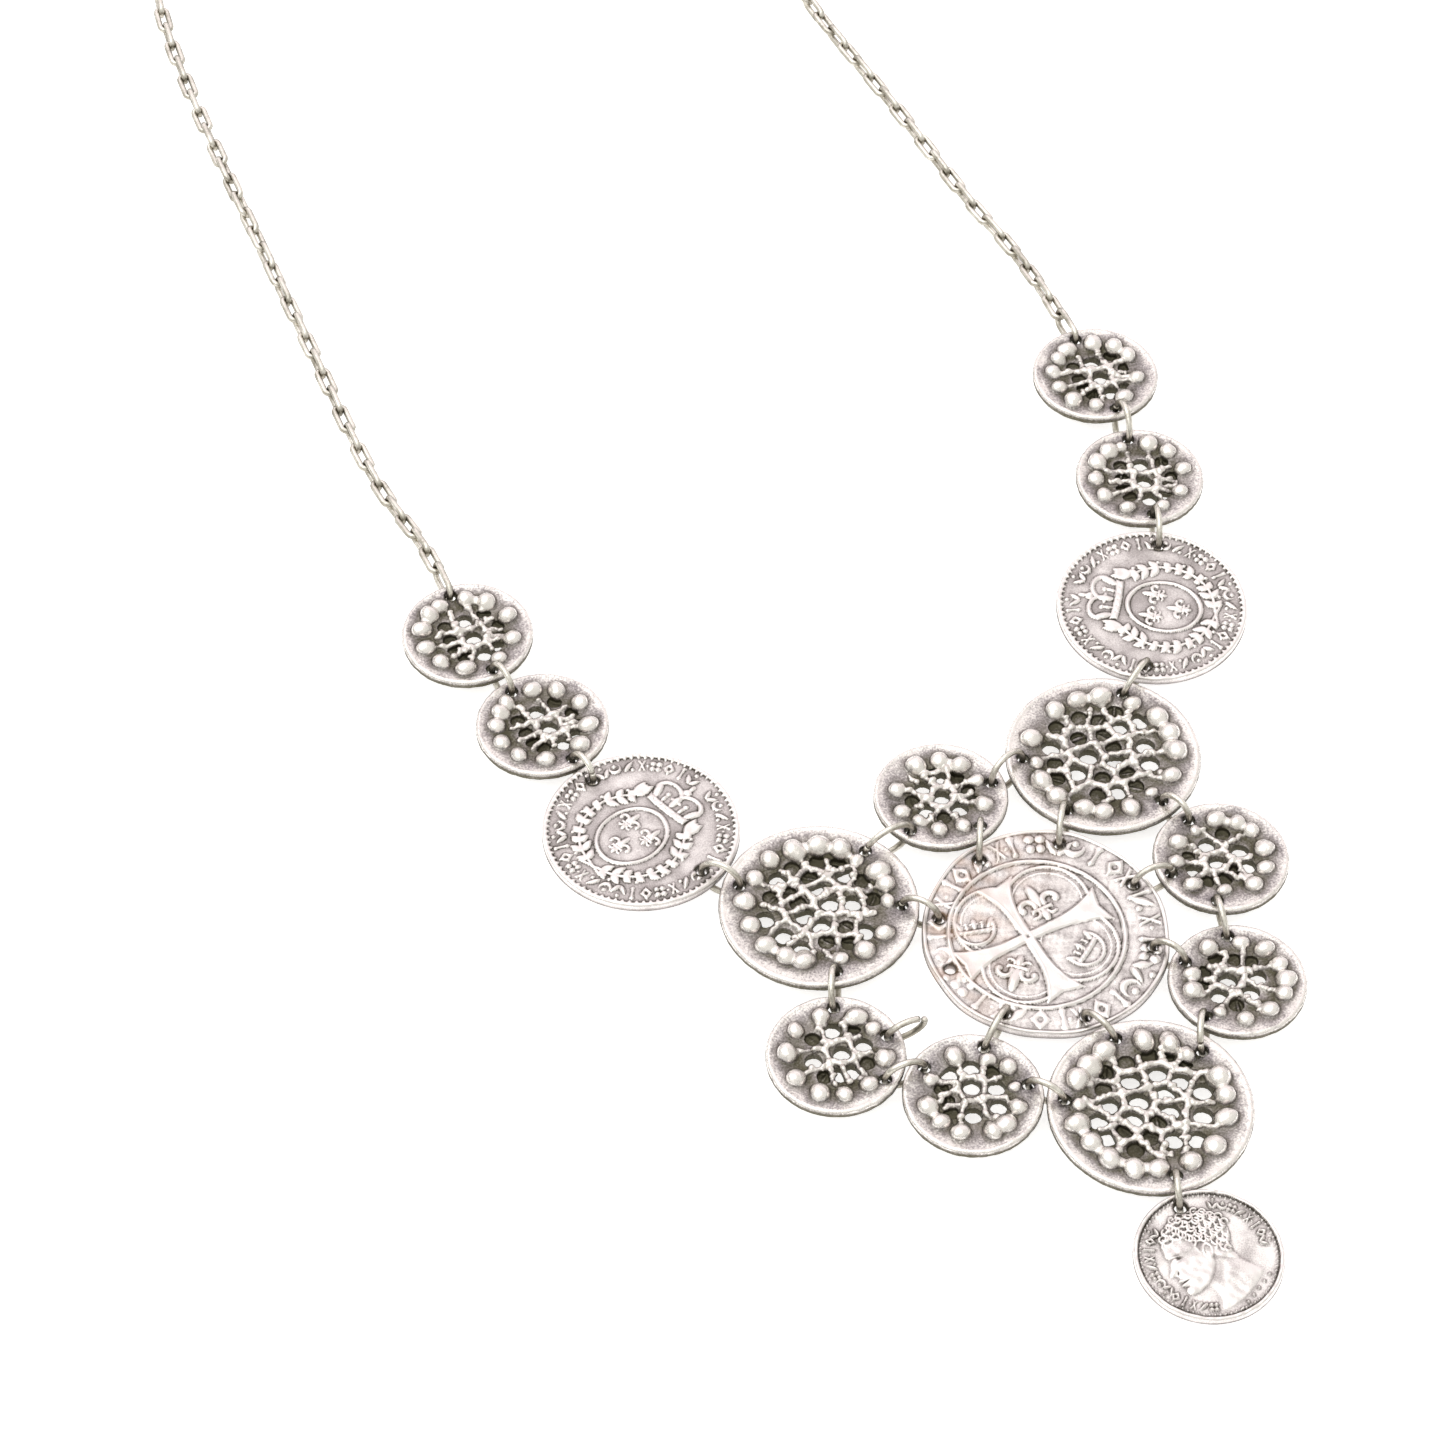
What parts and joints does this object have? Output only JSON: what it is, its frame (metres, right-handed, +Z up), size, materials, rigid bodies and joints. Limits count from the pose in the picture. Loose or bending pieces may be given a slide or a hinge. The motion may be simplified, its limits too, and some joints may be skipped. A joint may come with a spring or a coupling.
{
  "type": "coin necklace",
  "caption": "Chain necklace of old coins and pierced, granulated discs joined by jump rings, with a drop coin below; it lies flat with its clasp at the back.",
  "frame": {"origin": "on the surface it lies on, below the middle of the whole necklace's box", "axes": "+Z up, +Y toward the clasp at the back of the neck, -Y toward the drop coin"},
  "size_m": [0.096, 0.2638, 0.0062],
  "materials": {
    "coin_silver": "worn struck silver, darkened in its recesses",
    "cast_silver": "cast silver, antiqued dark in its recesses and rubbed bright on its high places",
    "wire_silver": "drawn silver wire, polished and a little tarnished"
  },
  "bodies": {
    "root": {"chain_left": "wire_silver", "chain_right": "wire_silver", "clasp": "wire_silver", "clasp_ring": "wire_silver", "coin_centre": "coin_silver", "coin_drop": "coin_silver", "coin_left": "coin_silver", "coin_right": "coin_silver", "disc_big_bottom": "cast_silver", "disc_big_left": "cast_silver", "disc_big_right": "cast_silver", "disc_small_left_1": "cast_silver", "disc_small_left_2": "cast_silver", "disc_small_low_1": "cast_silver", "disc_small_low_2": "cast_silver", "disc_small_right_1": "cast_silver", "disc_small_right_2": "cast_silver", "disc_small_side_1": "cast_silver", "disc_small_side_2": "cast_silver", "disc_small_top": "cast_silver", "end_link_left": "wire_silver", "end_link_right": "wire_silver", "ring_big_bottom_to_coin_drop": "wire_silver", "ring_big_left_to_coin_centre": "wire_silver", "ring_big_left_to_small_low_1": "wire_silver", "ring_big_left_to_small_top": "wire_silver", "ring_big_right_to_coin_centre": "wire_silver", "ring_big_right_to_small_side_1": "wire_silver", "ring_coin_centre_to_big_bottom": "wire_silver", "ring_coin_centre_to_small_low_2": "wire_silver", "ring_coin_centre_to_small_side_1": "wire_silver", "ring_coin_centre_to_small_side_2": "wire_silver", "ring_coin_left_to_big_left": "wire_silver", "ring_coin_right_to_big_right": "wire_silver", "ring_open": "wire_silver", "ring_small_left_1_to_small_left_2": "wire_silver", "ring_small_left_2_to_coin_left": "wire_silver", "ring_small_low_1_to_small_low_2": "wire_silver", "ring_small_low_2_to_big_bottom": "wire_silver", "ring_small_right_1_to_small_right_2": "wire_silver", "ring_small_right_2_to_coin_right": "wire_silver", "ring_small_side_1_to_small_side_2": "wire_silver", "ring_small_side_2_to_big_bottom": "wire_silver", "ring_small_top_to_big_right": "wire_silver", "ring_small_top_to_coin_centre": "wire_silver"}
  },
  "joints": []
}
